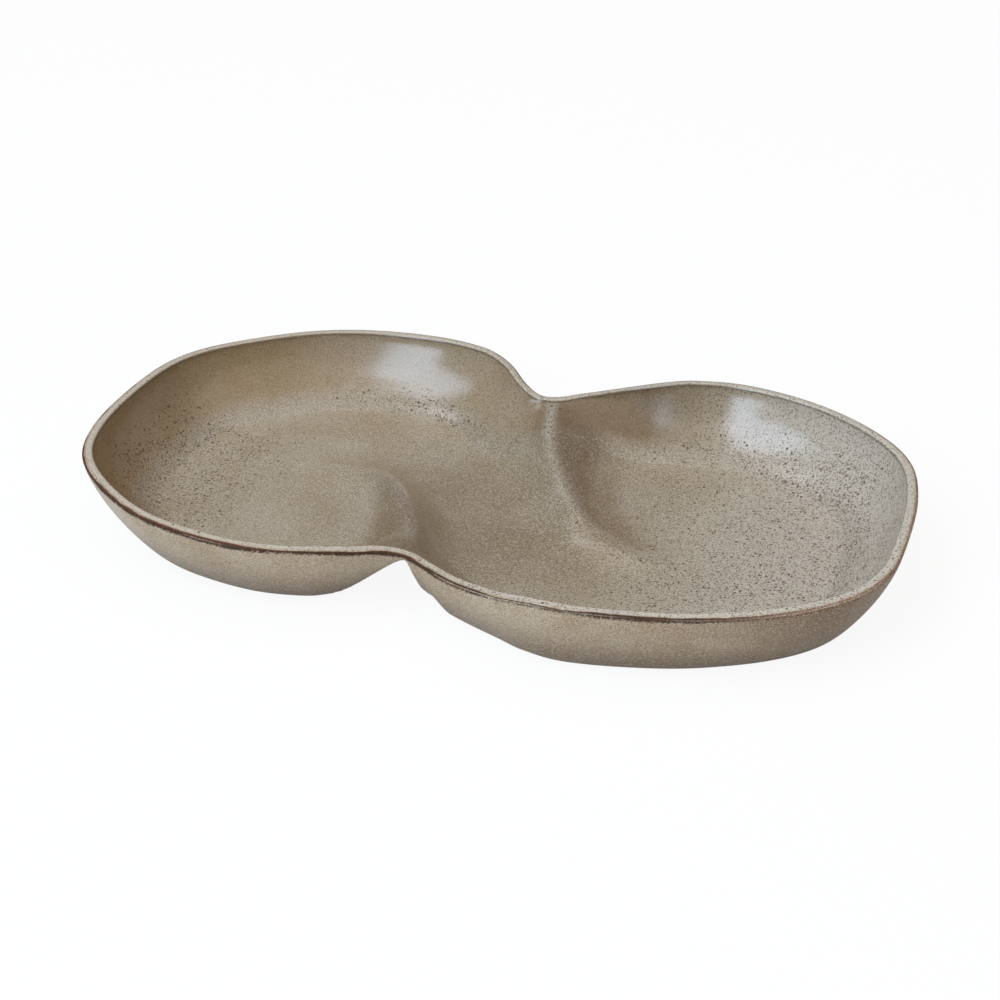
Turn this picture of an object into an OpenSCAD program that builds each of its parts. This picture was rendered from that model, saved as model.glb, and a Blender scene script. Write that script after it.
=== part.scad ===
// Olive dish: one shallow stoneware dish with two equal bowls that meet at a pinched waist.
// From each side of the waist a ridge runs in, turns and sinks into the floor, so that the bowls
// swirl into each other. The shell has an even thickness, so each ridge is a groove underneath.
// The clay is glazed in two coats, one over the inside and the rim and one over the outside.
// Along the outer edge of the rim the glaze breaks and the clay shows as a line, and the foot is bare.
// Millimetres, +Z up, +X along the dish, the origin on the table under the dish's middle.

/* [Dish] */
// Length over both bowls
dish_length = 269.5; // [240:0.5:320]
// Width across a bowl
dish_width = 162; // [150:1:200]
// Height of the rim over the table, away from the waist
rim_height = 26; // [22:0.5:34]
// How far the rim dips at the waist
waist_dip = 5.8; // [2:0.1:8]
// Half of the stretch along the dish over which the rim dips
waist_reach = 40; // [30:1:60]

/* [Shell] */
// Width of the top of the rim
rim_width = 3.6; // [3:0.1:5]
// Radius of the rim's two edges
edge_round = 0.9; // [0.6:0.1:1.4]
// How much lower the rim's outer edge lies than its inner edge
rim_slope = 0.2; // [0:0.1:0.8]
// Thickness of the floor over the foot
floor_thickness = 4.2; // [3:0.1:6]
// Distance over which the outside slopes in to the base, at the tips of the dish
tip_run = 15; // [13:0.5:20]
// The same beside the waist, on the side to which the ridge there turns
gentle_run = 17; // [14:0.5:22]
// The same beside the waist, on the ridge's other side
steep_run = 7.5; // [7:0.5:12]
// Distance over which the inside slopes from the rim to the floor
inside_run = 20; // [17:0.5:24]

/* [Swirl ridges] */
// Width of a ridge's flank at the rim, on the hollow side of its bend
hollow_flank = 34; // [26:0.5:40]
// Width of that flank where the ridge has sunk into the floor
hollow_flank_end = 13; // [8:0.5:18]
// Width of a ridge's other flank at the rim
outer_flank = 20; // [14:0.5:28]
// Width of that flank where the ridge has sunk into the floor
outer_flank_end = 16; // [10:0.5:22]
// Distance from a crest over which it is rounded
crest_round = 3; // [2:0.1:5]
// Thickness of the shell under a crest, at the rim
crest_thickness = 3.2; // [3:0.1:6]
// Width of the groove below the ridge's other flank, at the rim
groove_flank = 4; // [3:0.5:10]
// Distance from the groove's top over which it is rounded
groove_round = 2; // [1.5:0.1:4]

/* [Foot] */
// Height of the bare foot
foot_height = 0.8; // [0.6:0.1:1.5]
// Distance from the end of the outside curve in to the foot
foot_margin = 2; // [1:0.1:4]

/* [Glaze] */
// Thickness of each glaze coat
glaze_thickness = 0.5; // [0.3:0.05:0.5]

/* [Hidden] */

clay_colour = "#6f4f3a";
inner_glaze_colour = "#a2988a";
outer_glaze_colour = "#b0a595";

// The rim's outer edge seen from above, in shares of the length and the width: the far side from
// the right tip to the left one, and then the near side back to the right. Both have as many points.
far_rim_shares = [
    [0.500, -0.080], [0.491, 0.120], [0.464, 0.272], [0.406, 0.382], [0.322, 0.463],
    [0.225, 0.497], [0.143, 0.474], [0.075, 0.449], [0.030, 0.413], [0.002, 0.375],
    [-0.020, 0.363], [-0.046, 0.392], [-0.080, 0.449], [-0.125, 0.484], [-0.190, 0.500],
    [-0.275, 0.484], [-0.350, 0.437], [-0.415, 0.357], [-0.470, 0.258], [-0.495, 0.150]
];
near_rim_shares = [
    [-0.500, -0.010], [-0.492, -0.150], [-0.466, -0.269], [-0.409, -0.372], [-0.325, -0.458],
    [-0.215, -0.494], [-0.130, -0.475], [-0.082, -0.431], [-0.050, -0.387], [-0.023, -0.374],
    [0.006, -0.394], [0.040, -0.424], [0.075, -0.452], [0.115, -0.482], [0.170, -0.500],
    [0.245, -0.486], [0.330, -0.446], [0.415, -0.370], [0.470, -0.280], [0.495, -0.185]
];

// The far ridge's crest from the rim inwards: shares of the length and the width, measured from the
// swirl's middle, and of the ridge's height. The near ridge is the same, turned half round.
crest_shares = [
    [0.010, 0.373, 1], [0.035, 0.230, 0.79], [0.076, 0.102, 0.55], [0.123, -0.006, 0.35],
    [0.172, -0.062, 0.18], [0.224, -0.075, 0.07], [0.284, -0.081, 0]
];
// The swirl's middle, and the lowest place of the rim, along the dish
swirl_middle_share = -0.015;
waist_place_share = 0.02;
// The stretch of the waist, in half lengths of the dish, over which the walls turn from gentle to steep
waist_blend_share = 0.06;
// How fast the walls beside the waist turn into those at the tips
tip_blend = 0.62;
// How round the walls are: 2 is an ellipse and 1 a straight slope
inside_curve = 1.45;
outside_curve = 1.27;
// How a ridge's flanks fall away: 1 is a straight slope, and a greater power is steep near the crest
hollow_curve = 1.6;
outer_curve = 2.3;
// The seam where the mesh closes, in the channel between the ridges, and its turn from the dish's length
seam_length_share = 0.52;
seam_width_share = 0.05;
seam_turn = 10;
// Where the rounding of an edge has its middle point, in shares of its radius
round_middle_share = 1 - sin(45);
// How tightly the grooves meet the outside wall
groove_blend = 8;

// Points between two rim points, points between two crest points, and rings of each zone
rim_steps = 2;
crest_steps = 3;
floor_rings = 14;
wall_rings = 6;
outside_rings = 5;
under_rings = 7;

// Neighbours on each side over which the direction of the inner rings is evened out
even_reach = 5;

// One point of a smooth curve between b and c, with a before them and d after
function between(a, b, c, d, t) =
    (2 * b + (c - a) * t + (2 * a - 5 * b + 4 * c - d) * t * t + (3 * b - a - 3 * c + d) * t * t * t) / 2;

function closed_curve(points, steps) =
    let (n = len(points))
    [for (i = [0 : n - 1], s = [0 : steps - 1])
        between(points[(i + n - 1) % n], points[i], points[(i + 1) % n], points[(i + 2) % n], s / steps)];

function open_curve(points, steps) =
    let (
        n = len(points),
        p = concat([2 * points[0] - points[1]], points, [2 * points[n - 1] - points[n - 2]])
    )
    [for (i = [1 : n - 1], s = [0 : steps - 1]) between(p[i - 1], p[i], p[i + 1], p[i + 2], s / steps),
        points[n - 1]];

function mix(a, b, t) = a + (b - a) * t;
function column(points, axis) = [for (p = points) p[axis]];

// The rim's outer edge, stretched to the dish's length and width
drawn_rim = closed_curve(concat(far_rim_shares, near_rim_shares), rim_steps);
drawn_low = [min(column(drawn_rim, 0)), min(column(drawn_rim, 1))];
drawn_high = [max(column(drawn_rim, 0)), max(column(drawn_rim, 1))];
rim_count = len(drawn_rim);
rim = [for (p = drawn_rim) [
    dish_length * ((p.x - drawn_low.x) / (drawn_high.x - drawn_low.x) - 1 / 2),
    dish_width * ((p.y - drawn_low.y) / (drawn_high.y - drawn_low.y) - 1 / 2)
]];
rim_inward = [for (i = [0 : rim_count - 1])
    let (along = rim[(i + 1) % rim_count] - rim[(i + rim_count - 1) % rim_count])
    [-along.y, along.x] / norm(along)];

evened_inward = [for (i = [0 : rim_count - 1])
    let (total = [for (k = [-even_reach : even_reach]) 1] * [for (k = [-even_reach : even_reach])
        rim_inward[(i + k + rim_count) % rim_count]])
    total / norm(total)];

// How far the outside slopes in below each point of the rim. The dish is the same turned half round.
swirl_middle = [dish_length * swirl_middle_share, 0];
rim_run = [for (p = rim)
    let (
        along = 2 * (p.x - swirl_middle.x) / dish_length,
        turned_along = p.y > 0 ? -along : along,
        u = min(1, max(0, turned_along / waist_blend_share / 2 + 1 / 2)),
        waist_run = mix(gentle_run, steep_run, u * u * (3 - 2 * u))
    )
    mix(waist_run, tip_run, pow(abs(along), tip_blend))];

// Plan points: a distance in from the rim, square to it at first and then along evened lines,
// and along the seam in the middle of the floor
function inset(i, distance) =
    rim[i] + distance * mix(rim_inward[i], evened_inward[i], min(1, distance / tip_run));
function seam(i) =
    let (
        reach = 2 * rim[i].x / dish_length,
        side = i < rim_count / 2 ? 1 : -1,
        along = dish_length * seam_length_share * reach / 2,
        across = side * dish_width * seam_width_share * sqrt(max(0, 1 - reach * reach)) / 2
    )
    [along * cos(seam_turn) + across * sin(seam_turn), across * cos(seam_turn) - along * sin(seam_turn)];

// Height of the rim over a place along the dish
function rim_z(x) =
    let (u = (x - waist_place_share * dish_length) / waist_reach)
    rim_height - waist_dip * pow(max(0, 1 - u * u), 2);

// Ridges
crest = open_curve([for (c = crest_shares) [dish_length * c.x, dish_width * c.y, c.z]], crest_steps);
waist_height = rim_height - waist_dip;
groove_share = (waist_height - crest_thickness - foot_height)
    / (waist_height - rim_slope - edge_round - foot_height);

// The crest's nearest place to p: its distance, its height share, and the side that p is on
function beside_crest(p) =
    let (
        hits = [for (k = [0 : len(crest) - 2])
            let (
                start = [crest[k].x, crest[k].y],
                span = [crest[k + 1].x, crest[k + 1].y] - start,
                t = min(1, max(0, (p - start) * span / (span * span)))
            )
            [norm(p - start - t * span), mix(crest[k].z, crest[k + 1].z, t), cross(span, p - start)]],
        nearest = min(column(hits, 0))
    )
    [for (h = hits) if (h[0] == nearest) h][0];

// Flank widths, each where the ridge has sunk and at the rim: on the hollow side and on the other
ridge_flanks = [[hollow_flank_end, hollow_flank], [outer_flank_end, outer_flank]];
groove_flanks = [
    [hollow_flank_end - rim_width, hollow_flank - rim_width],
    [outer_flank_end - rim_width, groove_flank]
];

// Share of a ridge's height at p
function ridge(p, flanks, rounding) =
    let (
        hit = beside_crest(p),
        hollow = hit[2] > 0,
        widths = hollow ? flanks[0] : flanks[1],
        u = (norm([hit[0], rounding]) - rounding) / mix(widths[0], widths[1], hit[1] * hit[1])
    )
    u < 1 ? hit[1] * pow(1 - u, hollow ? hollow_curve : outer_curve) : 0;

// The rim's nearest place to p: its distance, and how far the outside slopes in below it
function beside_rim(p) =
    let (
        hits = [for (i = [0 : rim_count - 1])
            let (
                next = (i + 1) % rim_count,
                span = rim[next] - rim[i],
                t = min(1, max(0, (p - rim[i]) * span / (span * span)))
            )
            [norm(p - rim[i] - t * span), mix(rim_run[i], rim_run[next], t)]],
        nearest = min(column(hits, 0))
    )
    [for (h = hits) if (h[0] == nearest) h][0];

// The share of its height that a wall still has at a depth in from its top
function wall_share(depth, run, curve) =
    let (left = 1 - min(1, max(0, depth / run)))
    1 - pow(1 - pow(left, curve), 1 / curve);

// Surface points over a plan point
function inside_point(p) =
    let (
        q = p - swirl_middle,
        wall = wall_share(beside_rim(p)[0] - rim_width, inside_run, inside_curve),
        far_ridge = ridge(q, ridge_flanks, crest_round),
        near_ridge = ridge(-q, ridge_flanks, crest_round),
        lift = 1 - (1 - wall) * (1 - far_ridge) * (1 - near_ridge),
        top = rim_z(p.x) - edge_round
    )
    [p.x, p.y, mix(floor_thickness, top, lift)];

function outside_point(p, level) =
    let (
        q = p - swirl_middle,
        edge = beside_rim(p),
        wall = wall_share(edge[0], edge[1], outside_curve),
        far_groove = groove_share * ridge(q, groove_flanks, groove_round),
        near_groove = groove_share * ridge(-q, groove_flanks, groove_round),
        joined = pow(wall, groove_blend) + pow(far_groove, groove_blend) + pow(near_groove, groove_blend),
        top = rim_z(p.x) - rim_slope - edge_round
    )
    [p.x, p.y, mix(level, top, min(1, pow(joined, 1 / groove_blend)))];

function rim_point(p, drop) = [p.x, p.y, rim_z(p.x) - drop];

// Rings of the finished surface, from the floor's seam out, over the rim and under to the foot
round_middle = edge_round * round_middle_share;
rim_profile = [
    [rim_width - round_middle, round_middle],
    [rim_width - edge_round, 0],
    [edge_round, rim_slope],
    [round_middle, rim_slope + round_middle]
];
around = [0 : rim_count - 1];
function inside_inset(i, turn) =
    inset(i, rim_width + inside_run * (1 - cos(turn)));
function outside_inset(i, turn) = inset(i, rim_run[i] * (1 - cos(turn)));
function foot_edge(i, slope) = inset(i, rim_run[i] + foot_margin + slope);
floor_zone = [for (r = [floor_rings : -1 : 1])
    [for (i = around) inside_point(mix(inside_inset(i, 90), seam(i), r / floor_rings))]];
inside_zone = [for (r = [wall_rings - 1 : -1 : 0])
    [for (i = around) inside_point(inside_inset(i, 90 * r / (wall_rings - 1)))]];
rim_zone = [for (place = rim_profile) [for (i = around) rim_point(inset(i, place[0]), place[1])]];
outside_zone = [for (r = [0 : outside_rings - 1])
    [for (i = around) outside_point(outside_inset(i, 90 * r / (outside_rings - 1)), foot_height)]];
foot_zone = [
    [for (i = around) outside_point(foot_edge(i, 0), foot_height)],
    [for (i = around) outside_point(foot_edge(i, foot_height), 0)]
];
under_zone = [for (r = [1 : under_rings])
    [for (i = around) outside_point(mix(foot_edge(i, foot_height), seam(i), r / under_rings), 0)]];
skin = concat(floor_zone, inside_zone, rim_zone, outside_zone, foot_zone, under_zone);
ring_count = len(skin);

// The coats end at these rings: both at the rim's outer edge, and the outer one at the foot
inner_end = floor_rings + wall_rings + len(rim_profile) - 2;
outer_start = floor_rings + wall_rings + len(rim_profile);
outer_end = outer_start + outside_rings;
function is_glazed(j) = j < inner_end || (j > outer_start && j < outer_end);

// Height of the surface over a plan point between ring j and the next
function height_between(j, p) =
    j < floor_rings + wall_rings ? inside_point(p).z :
    j < outer_start ? rim_z(p.x) :
    j < outer_end ? outside_point(p, foot_height).z : outside_point(p, 0).z;

// Whether the cell after ring j, point i is split from there onwards or across. The diagonal is used that
// lies nearer to the surface at the cell's middle, so that the edges follow the ridges.
splits_onward = [for (j = [0 : ring_count - 2]) [for (i = around)
    let (
        next = (i + 1) % rim_count,
        onward = (skin[j][i] + skin[j + 1][next]) / 2,
        across = (skin[j][next] + skin[j + 1][i]) / 2,
        middle = (onward + across) / 2,
        surface = height_between(j, [middle.x, middle.y])
    )
    abs(onward.z - surface) < abs(across.z - surface)]];

// Outward direction of the skin at ring j, point i
function outward(j, i) =
    let (
        across = skin[min(j + 1, ring_count - 1)][i] - skin[max(j - 1, 0)][i],
        along = skin[j][(i + 1) % rim_count] - skin[j][(i + rim_count - 1) % rim_count],
        n = cross(across, along)
    )
    n / norm(n);

// The clay's surface lies a glaze thickness under the skin, and on it where the clay is bare
clay = [for (j = [0 : ring_count - 1])
    is_glazed(j) ? [for (i = around) skin[j][i] - glaze_thickness * outward(j, i)] : skin[j]];

// Meshes: the points of some rings, the bands along a chain of rings and the strip that closes a seam ring.
// A chain starts at a ring of the skin.
function flat_list(rings) = [for (ring = rings) each ring];
function at(ring, i) = ring * rim_count + (i % rim_count);
function bands(chain, first) = [for (k = [1 : len(chain) - 1], i = around)
    let (a = chain[k - 1], b = chain[k])
    each splits_onward[first + k - 1][i]
        ? [[at(a, i), at(a, i + 1), at(b, i + 1)], [at(a, i), at(b, i + 1), at(b, i)]]
        : [[at(a, i), at(a, i + 1), at(b, i)], [at(a, i + 1), at(b, i + 1), at(b, i)]]];
function seam_strip(ring) = [for (k = [0 : rim_count / 2 - 1])
    let (near = rim_count - k) each [
        if (k < rim_count / 2 - 1) [at(ring, near), at(ring, near - 1), at(ring, k + 1)],
        if (k > 0) [at(ring, near), at(ring, k + 1), at(ring, k)]
    ]];
function turned(faces) = [for (f = faces) [f[2], f[1], f[0]]];
function count_up(first, last) = [for (k = [first : last]) k];

module clay_body() {
    chain = count_up(0, ring_count - 1);
    color(clay_colour)
    polyhedron(flat_list(clay), concat(
        seam_strip(0), bands(chain, 0), turned(seam_strip(ring_count - 1))), convexity = 8);
}

// The poured coat: its face is the skin up to the rim's outer edge, and its back lies on the clay
module inner_glaze() {
    face = [for (j = [0 : inner_end]) skin[j]];
    back = [for (j = [0 : inner_end - 1]) clay[j]];
    back_start = len(face);
    face_chain = count_up(0, inner_end);
    back_chain = concat(count_up(back_start, back_start + len(back) - 1), [inner_end]);
    color(inner_glaze_colour)
    polyhedron(flat_list(concat(face, back)), concat(
        seam_strip(0), bands(face_chain, 0),
        turned(concat(seam_strip(back_start), bands(back_chain, 0)))), convexity = 8);
}

// The outside coat: a closed sleeve from the rim's outer edge to the foot, its back on the clay
module outer_glaze() {
    face = [for (j = [outer_start : outer_end]) skin[j]];
    back = [for (j = [outer_start + 1 : outer_end - 1]) clay[j]];
    face_end = len(face) - 1;
    face_chain = count_up(0, face_end);
    back_chain = concat([0], count_up(face_end + 1, face_end + len(back)), [face_end]);
    color(outer_glaze_colour)
    polyhedron(flat_list(concat(face, back)),
        concat(bands(face_chain, outer_start), turned(bands(back_chain, outer_start))), convexity = 8);
}

clay_body();
inner_glaze();
outer_glaze();
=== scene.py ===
# %% [markdown]
# # A double-bowl olive dish in speckled stoneware
# The dish is one fired piece of clay with two coats of glaze. Two equal bowls meet at a pinched waist,
# and from each side of the waist a ridge swirls in and sinks into the floor.
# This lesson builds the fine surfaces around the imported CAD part, gives them a satin reactive glaze
# and lights them softly. Every piece stays in the part's own frame, in metres.

# %% Load the frame
import math

import bpy
import numpy as np
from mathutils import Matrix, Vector


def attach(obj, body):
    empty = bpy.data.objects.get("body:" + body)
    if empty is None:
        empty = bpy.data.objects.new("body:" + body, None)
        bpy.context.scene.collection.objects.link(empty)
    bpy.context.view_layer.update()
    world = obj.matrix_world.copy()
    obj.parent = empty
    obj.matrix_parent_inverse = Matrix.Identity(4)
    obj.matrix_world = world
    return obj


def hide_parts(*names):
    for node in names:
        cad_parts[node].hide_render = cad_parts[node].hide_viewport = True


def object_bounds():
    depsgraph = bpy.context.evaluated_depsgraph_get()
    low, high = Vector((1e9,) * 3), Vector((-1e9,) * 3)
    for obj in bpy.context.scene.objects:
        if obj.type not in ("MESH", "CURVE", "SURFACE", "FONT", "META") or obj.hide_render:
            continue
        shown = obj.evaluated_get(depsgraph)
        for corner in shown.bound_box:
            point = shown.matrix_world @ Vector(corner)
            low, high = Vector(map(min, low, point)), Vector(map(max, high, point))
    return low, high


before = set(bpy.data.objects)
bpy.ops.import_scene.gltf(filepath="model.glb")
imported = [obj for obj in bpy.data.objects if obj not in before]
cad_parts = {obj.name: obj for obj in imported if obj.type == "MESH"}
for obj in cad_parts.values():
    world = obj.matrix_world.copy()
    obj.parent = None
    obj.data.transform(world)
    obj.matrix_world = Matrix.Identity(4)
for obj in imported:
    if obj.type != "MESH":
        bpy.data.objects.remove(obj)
cad_low, cad_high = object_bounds()
print("nodes of the frame:", sorted(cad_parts))

# %% [markdown]
# ## Sizes
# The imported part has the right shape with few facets, which suits a simulation.
# A close picture needs more, so the surfaces are drawn again here on a fine grid, by the same rules.
# Scaling the CAD mesh up with a subdivision modifier would be quicker, but it pulls in the thin rim
# and rounds off the crests. Rules in named sizes keep both where the CAD part has them.

# %% Sizes of the dish
MM = 0.001
dish_length = cad_high.x - cad_low.x
dish_width = cad_high.y - cad_low.y
rim_height = cad_high.z
waist_dip = 5.8 * MM
waist_reach = 40 * MM
rim_width = 3.6 * MM
edge_round = 0.9 * MM
rim_slope = 0.2 * MM
floor_thickness = 4.2 * MM
tip_run = 15 * MM
gentle_run = 17 * MM
steep_run = 7.5 * MM
inside_run = 20 * MM
foot_height = 0.8 * MM
foot_margin = 2 * MM
glaze_thickness = 0.5 * MM
print("dish", [round(size / MM, 1) for size in (dish_length, dish_width, rim_height)], "mm")

# %% [markdown]
# ## The rim seen from above
# A modeller would draw the rim as a smooth closed curve through a few given points.
# The points are shares of the length and the width, and the curve is a Catmull-Rom spline,
# which passes through every point. A Bezier curve object would do as well, but here each place
# on the rim is needed as a number, because all the walls are measured from it.

# %% Rim curve
FAR_RIM_SHARES = [
    (0.500, -0.080), (0.491, 0.120), (0.464, 0.272), (0.406, 0.382), (0.322, 0.463),
    (0.225, 0.497), (0.143, 0.474), (0.075, 0.449), (0.030, 0.413), (0.002, 0.375),
    (-0.020, 0.363), (-0.046, 0.392), (-0.080, 0.449), (-0.125, 0.484), (-0.190, 0.500),
    (-0.275, 0.484), (-0.350, 0.437), (-0.415, 0.357), (-0.470, 0.258), (-0.495, 0.150),
]
NEAR_RIM_SHARES = [
    (-0.500, -0.010), (-0.492, -0.150), (-0.466, -0.269), (-0.409, -0.372), (-0.325, -0.458),
    (-0.215, -0.494), (-0.130, -0.475), (-0.082, -0.431), (-0.050, -0.387), (-0.023, -0.374),
    (0.006, -0.394), (0.040, -0.424), (0.075, -0.452), (0.115, -0.482), (0.170, -0.500),
    (0.245, -0.486), (0.330, -0.446), (0.415, -0.370), (0.470, -0.280), (0.495, -0.185),
]
RIM_STEPS = 10


def between(before, here, after, beyond, t):
    """Places on a smooth curve from here to after."""
    bend = 2 * before - 5 * here + 4 * after - beyond
    twist = 3 * here - before - 3 * after + beyond
    return (2 * here + (after - before) * t + bend * t**2 + twist * t**3) / 2


def closed_curve(points, steps):
    neighbours = [np.roll(points, shift, axis=0)[:, None] for shift in (1, 0, -1, -2)]
    t = (np.arange(steps) / steps)[None, :, None]
    return between(*neighbours, t).reshape(-1, points.shape[1])


def unit(vectors):
    return vectors / np.linalg.norm(vectors, axis=-1, keepdims=True)


drawn = closed_curve(np.array(FAR_RIM_SHARES + NEAR_RIM_SHARES), RIM_STEPS)
drawn_low, drawn_high = drawn.min(axis=0), drawn.max(axis=0)
rim = ((drawn - drawn_low) / (drawn_high - drawn_low) - 0.5) * (dish_length, dish_width)
rim_count = len(rim)
print("rim points:", rim_count)

# %% [markdown]
# ## Inward from the rim
# Each ring of the surface lies a little further in from the rim than the last one.
# Close to the rim the way in is square to it. Further in, neighbouring ways would crowd at the bends,
# so they turn gently into directions that are evened out along the rim.

# %% Ways in from the rim
EVEN_REACH = 5 * RIM_STEPS // 2
along = np.roll(rim, -1, axis=0) - np.roll(rim, 1, axis=0)
inward = unit(np.column_stack([-along[:, 1], along[:, 0]]))
evened = unit(sum(np.roll(inward, shift, axis=0) for shift in range(-EVEN_REACH, EVEN_REACH + 1)))


def mix(a, b, share):
    return a + (b - a) * share


def inset(distance):
    """Plan points that lie a distance in from the rim, the same all round or one for each point."""
    distance = np.broadcast_to(distance, rim_count)[:, None]
    return rim + distance * mix(inward, evened, np.minimum(1, distance / tip_run))


at_waist = np.abs(rim[:, 0]) < waist_dip
print("clear width at the waist: %.1f mm" % (np.ptp(inset(rim_width)[at_waist, 1]) / MM))

# %% [markdown]
# ## Walls
# From the rim the inside falls in a round curve to the floor, and the outside slopes in to the foot.
# Both are arcs of a superellipse: a power of 2 is an ellipse, and a power near 1 is almost straight.
# One formula for both keeps the shell's thickness under control.
# Beside the waist the outside is steep on one side of each ridge and gentle on the other,
# in the same way if the dish is turned half round.

# %% Wall rules
SWIRL_PLACE_SHARE = -0.015
WAIST_PLACE_SHARE = 0.02
WAIST_BLEND_SHARE = 0.06
TIP_BLEND = 0.62
INSIDE_CURVE = 1.45
OUTSIDE_CURVE = 1.27

swirl_middle = np.array([SWIRL_PLACE_SHARE * dish_length, 0])
half_along = 2 * (rim[:, 0] - swirl_middle[0]) / dish_length
turned_along = np.where(rim[:, 1] > 0, -half_along, half_along)
turn_share = np.clip(turned_along / WAIST_BLEND_SHARE / 2 + 0.5, 0, 1)
waist_run = mix(gentle_run, steep_run, turn_share**2 * (3 - 2 * turn_share))
rim_run = mix(waist_run, tip_run, np.abs(half_along) ** TIP_BLEND)


def rim_level(x):
    """Height of the rim over a place along the dish: it dips at the waist."""
    u = (x - WAIST_PLACE_SHARE * dish_length) / waist_reach
    return rim_height - waist_dip * np.clip(1 - u**2, 0, None) ** 2


def wall_share(depth, run, curve):
    """The share of its height that a wall still has at a depth in from its top."""
    left = 1 - np.clip(depth / run, 0, 1)
    return 1 - (1 - left**curve) ** (1 / curve)


def beside_rim(plan):
    """Distance of each plan point from the rim, and how far the outside slopes in below that place."""
    nearest = np.full(len(plan), np.inf)
    run = np.zeros(len(plan))
    for i in range(rim_count):
        onward = (i + 1) % rim_count
        span = rim[onward] - rim[i]
        t = np.clip((plan - rim[i]) @ span / (span @ span), 0, 1)
        distance = np.linalg.norm(plan - rim[i] - t[:, None] * span, axis=1)
        closer = distance < nearest
        nearest[closer] = distance[closer]
        run[closer] = mix(rim_run[i], rim_run[onward], t[closer])
    return nearest, run


print("outside slopes in over %.1f to %.1f mm" % (rim_run.min() / MM, rim_run.max() / MM))

# %% [markdown]
# ## Swirl ridges
# Each ridge is a curve on the plan with a height that sinks from the rim to nothing.
# A sculptor would pull it up with a brush. Here the height of any place follows from its distance
# to the crest: full on it, rounded over the top, and fading over a flank that is wide
# on the hollow side of the bend and narrower on the other.
# The second ridge is the first, turned half round.

# %% Ridge rules
CREST_SHARES = [
    (0.010, 0.373, 1), (0.035, 0.230, 0.79), (0.076, 0.102, 0.55), (0.123, -0.006, 0.35),
    (0.172, -0.062, 0.18), (0.224, -0.075, 0.07), (0.284, -0.081, 0),
]
CREST_STEPS = 12
HOLLOW_CURVE = 1.6
OUTER_CURVE = 2.3
hollow_flank = 34 * MM
hollow_flank_end = 13 * MM
outer_flank = 20 * MM
outer_flank_end = 16 * MM
crest_round = 3 * MM
groove_flank = 4 * MM
groove_round = 2 * MM
crest_thickness = 3.2 * MM

crest_points = np.array(CREST_SHARES) * (dish_length, dish_width, 1)
first_point = 2 * crest_points[0] - crest_points[1]
last_point = 2 * crest_points[-1] - crest_points[-2]
crest_guides = np.vstack([first_point, crest_points, last_point])
crest = closed_curve(crest_guides, CREST_STEPS)[CREST_STEPS:-2 * CREST_STEPS + 1]


def beside_crest(plan):
    """Distance to the crest, the crest's height share there, and whether that is its hollow side."""
    nearest = np.full(len(plan), np.inf)
    height = np.zeros(len(plan))
    hollow = np.zeros(len(plan), bool)
    for start, end in zip(crest[:-1], crest[1:]):
        span = (end - start)[:2]
        way = plan - start[:2]
        t = np.clip(way @ span / (span @ span), 0, 1)
        distance = np.linalg.norm(way - t[:, None] * span, axis=1)
        closer = distance < nearest
        nearest[closer] = distance[closer]
        height[closer] = mix(start[2], end[2], t[closer])
        hollow[closer] = (span[0] * way[:, 1] - span[1] * way[:, 0] > 0)[closer]
    return nearest, height, hollow


def ridge(beside, flanks, rounding):
    """Share of a ridge's height: flanks holds its widths where it has sunk and at the rim."""
    distance, height, hollow = beside
    ends = np.where(hollow, flanks[0][0], flanks[1][0])
    widths = mix(ends, np.where(hollow, flanks[0][1], flanks[1][1]), height**2)
    left = 1 - (np.hypot(distance, rounding) - rounding) / widths
    return height * np.clip(left, 0, None) ** np.where(hollow, HOLLOW_CURVE, OUTER_CURVE)


RIDGE_FLANKS = ((hollow_flank_end, hollow_flank), (outer_flank_end, outer_flank))
GROOVE_FLANKS = (
    (hollow_flank_end - rim_width, hollow_flank - 2 * rim_width),
    (outer_flank_end - rim_width, groove_flank),
)
crest_length = np.linalg.norm(np.diff(crest[:, :2], axis=0), axis=1).sum()
print("crest of %d points, %.0f mm long" % (len(crest), crest_length / MM))

# %% [markdown]
# ## Height of the two surfaces
# The inside rises with whichever of the wall and the ridges is higher, joined softly.
# Underneath, the clay follows at an even thickness, so each ridge is a groove seen from below.
# The rules also give what the glaze will need later: how much of a place is wall, how near it is
# to a crest, and how much of it is a ridge's flank, where a poured glaze runs thin.

# %% Surface rules
GROOVE_BLEND = 8
CREST_REACH = 2 * MM
OUTER_THIN_SHARE = 0.4
waist_height = rim_height - waist_dip
waist_wall = waist_height - rim_slope - edge_round - foot_height
groove_share = (waist_height - crest_thickness - foot_height) / waist_wall
print("a groove takes up %.2f of the wall at the waist" % groove_share)


def inside_surface(plan):
    beside = [beside_crest(sign * (plan - swirl_middle)) for sign in (1, -1)]
    lifts = [ridge(place, RIDGE_FLANKS, crest_round) for place in beside]
    wall = wall_share(beside_rim(plan)[0] - rim_width, inside_run, INSIDE_CURVE)
    lift = 1 - (1 - wall) * (1 - lifts[0]) * (1 - lifts[1])
    top = rim_level(plan[:, 0]) - edge_round
    near_crest = sum(place[1] * np.exp(-(place[0] / CREST_REACH) ** 2) for place in beside)
    flank = sum(share * np.where(place[2], 1, OUTER_THIN_SHARE) for share, place in zip(lifts, beside))
    return mix(floor_thickness, top, lift), wall, near_crest, flank


def outside_surface(plan, level):
    distance, run = beside_rim(plan)
    wall = wall_share(distance, run, OUTSIDE_CURVE)
    grooves = [
        groove_share * ridge(beside_crest(sign * (plan - swirl_middle)), GROOVE_FLANKS, groove_round)
        for sign in (1, -1)
    ]
    joined = sum(share**GROOVE_BLEND for share in (wall, *grooves)) ** (1 / GROOVE_BLEND)
    top = rim_level(plan[:, 0]) - rim_slope - edge_round
    return mix(level, top, np.minimum(1, joined)), wall


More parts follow.
